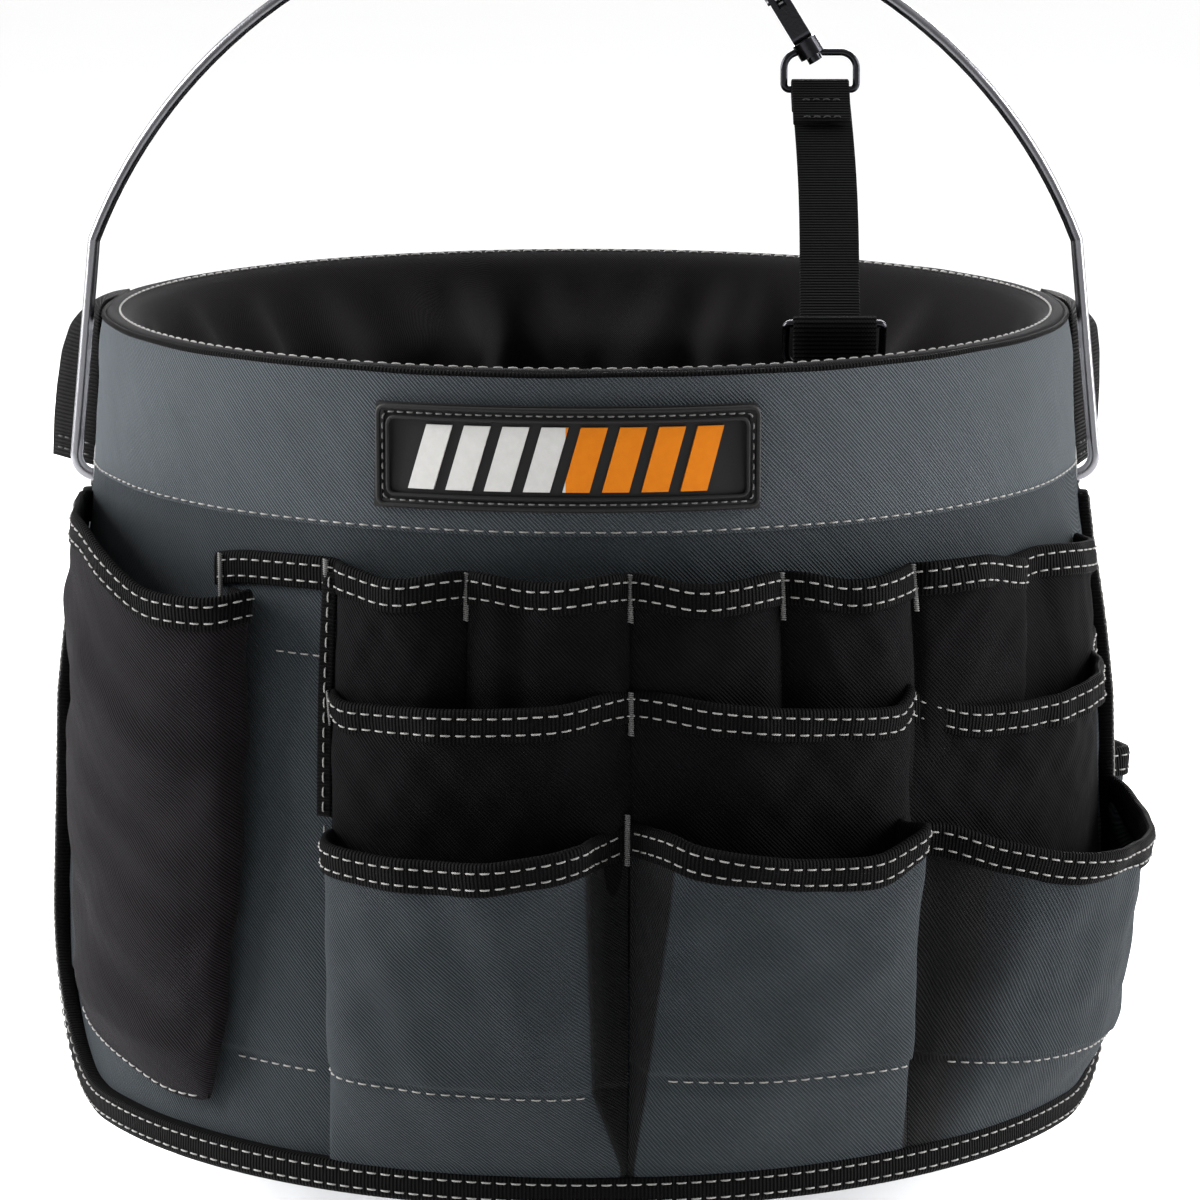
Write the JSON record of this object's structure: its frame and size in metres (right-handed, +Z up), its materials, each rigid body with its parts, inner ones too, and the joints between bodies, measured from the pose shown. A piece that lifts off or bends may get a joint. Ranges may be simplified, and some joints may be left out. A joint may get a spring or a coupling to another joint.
{
  "type": "tool bucket organizer",
  "caption": "Fabric tool organizer with outside pockets hung over the rim of a pail with a wire bail, and a webbing strap clipped to the bail by a swivel snap hook.",
  "frame": {"origin": "centre of the pail's base, on the surface it stands on", "axes": "+Z up, front of the organizer towards -Y, +X to the right seen from the front; bail pivots lie along X"},
  "size_m": [0.3798, 0.3922, 0.507],
  "materials": {
    "pail_plastic": "moulded white HDPE, satin",
    "galvanised_wire": "galvanised drawn wire",
    "grip_plastic": "moulded grip, matt",
    "black_nickel": "black nickel plating",
    "bright_steel": "bright zinc",
    "webbing": "ribbed polypropylene webbing",
    "binding_webbing": "ribbed binding tape with light stitching",
    "patch_rubber": "moulded soft rubber",
    "patch_print": "raised white and orange inlay",
    "thread": "light grey stitching thread",
    "grey_fabric": "slate grey woven polyester",
    "lining_fabric": "black woven lining",
    "black_fabric": "black woven polyester"
  },
  "bodies": {
    "pail": {"anchor_ring": "black_nickel", "anchor_tab": "webbing", "back_apron": "grey_fabric", "back_cuff": "grey_fabric", "back_hem_binding": "binding_webbing", "back_lower_binding_1": "binding_webbing", "back_lower_binding_2": "binding_webbing", "back_lower_binding_3": "binding_webbing", "back_lower_pocket_1": "grey_fabric", "back_lower_pocket_2": "grey_fabric", "back_lower_pocket_3": "grey_fabric", "back_upper_binding": "binding_webbing", "back_upper_pocket_1": "black_fabric", "back_upper_pocket_2": "black_fabric", "back_upper_pocket_3": "black_fabric", "bar_tacks": "thread", "front_apron": "grey_fabric", "front_cuff": "grey_fabric", "front_hem_binding": "binding_webbing", "hanger_strap_left": "webbing", "hanger_strap_right": "webbing", "lower_pocket_1": "grey_fabric", "lower_pocket_1_binding": "binding_webbing", "lower_pocket_2": "grey_fabric", "lower_pocket_2_binding": "binding_webbing", "lower_pocket_3": "grey_fabric", "lower_pocket_3_binding": "binding_webbing", "middle_pocket_1": "black_fabric", "middle_pocket_2": "black_fabric", "middle_row_binding": "binding_webbing", "name_patch": "patch_rubber", "pail_shell": "pail_plastic", "patch_bars": "patch_print", "rim_lining": "lining_fabric", "rim_piping": "binding_webbing", "side_pocket": "black_fabric", "side_pocket_binding": "binding_webbing", "sleeve_binding": "binding_webbing", "sleeve_pocket": "black_fabric", "strap_webbing": "webbing", "upper_pocket_1": "black_fabric", "upper_pocket_2": "black_fabric", "upper_pocket_3": "black_fabric", "upper_pocket_4": "black_fabric", "upper_pocket_5": "black_fabric", "upper_pocket_6": "black_fabric", "upper_row_binding": "binding_webbing"},
    "bail": {"bail_wire": "galvanised_wire", "strap_ring": "black_nickel"},
    "grip": {"bail_grip": "grip_plastic"},
    "snap_hook": {"hook_body": "black_nickel", "swivel_stud": "black_nickel", "gate_rivet": "black_nickel", "gate_spring": "bright_steel"},
    "gate": {"hook_gate": "bright_steel"}
  },
  "joints": [
    {"name": "bail_swing", "type": "hinge", "parent": "pail", "child": "bail", "pos_m": [0, 0, 0.317], "axis": [1, 0, 0], "range_deg": [0, 30], "deforming": ["strap_webbing"]},
    {"name": "grip_roll", "type": "hinge", "parent": "bail", "child": "grip", "pos_m": [0, 0, 0.49597], "axis": [1, 0, 0], "continuous": true},
    {"name": "hook_swivel", "type": "hinge", "parent": "bail", "child": "snap_hook", "pos_m": [0.071, 0, 0.455], "axis": [-0.5225, 0, 0.8526], "range_deg": [-12, 12]},
    {"name": "gate_open", "type": "hinge", "parent": "snap_hook", "child": "gate", "pos_m": [0.06055, -0.0046, 0.47205], "axis": [-0.8526, 0, -0.5225], "range_deg": [0, 22], "stiffness_Nm_per_rad": 0.02, "springref_deg": -17.19}
  ]
}
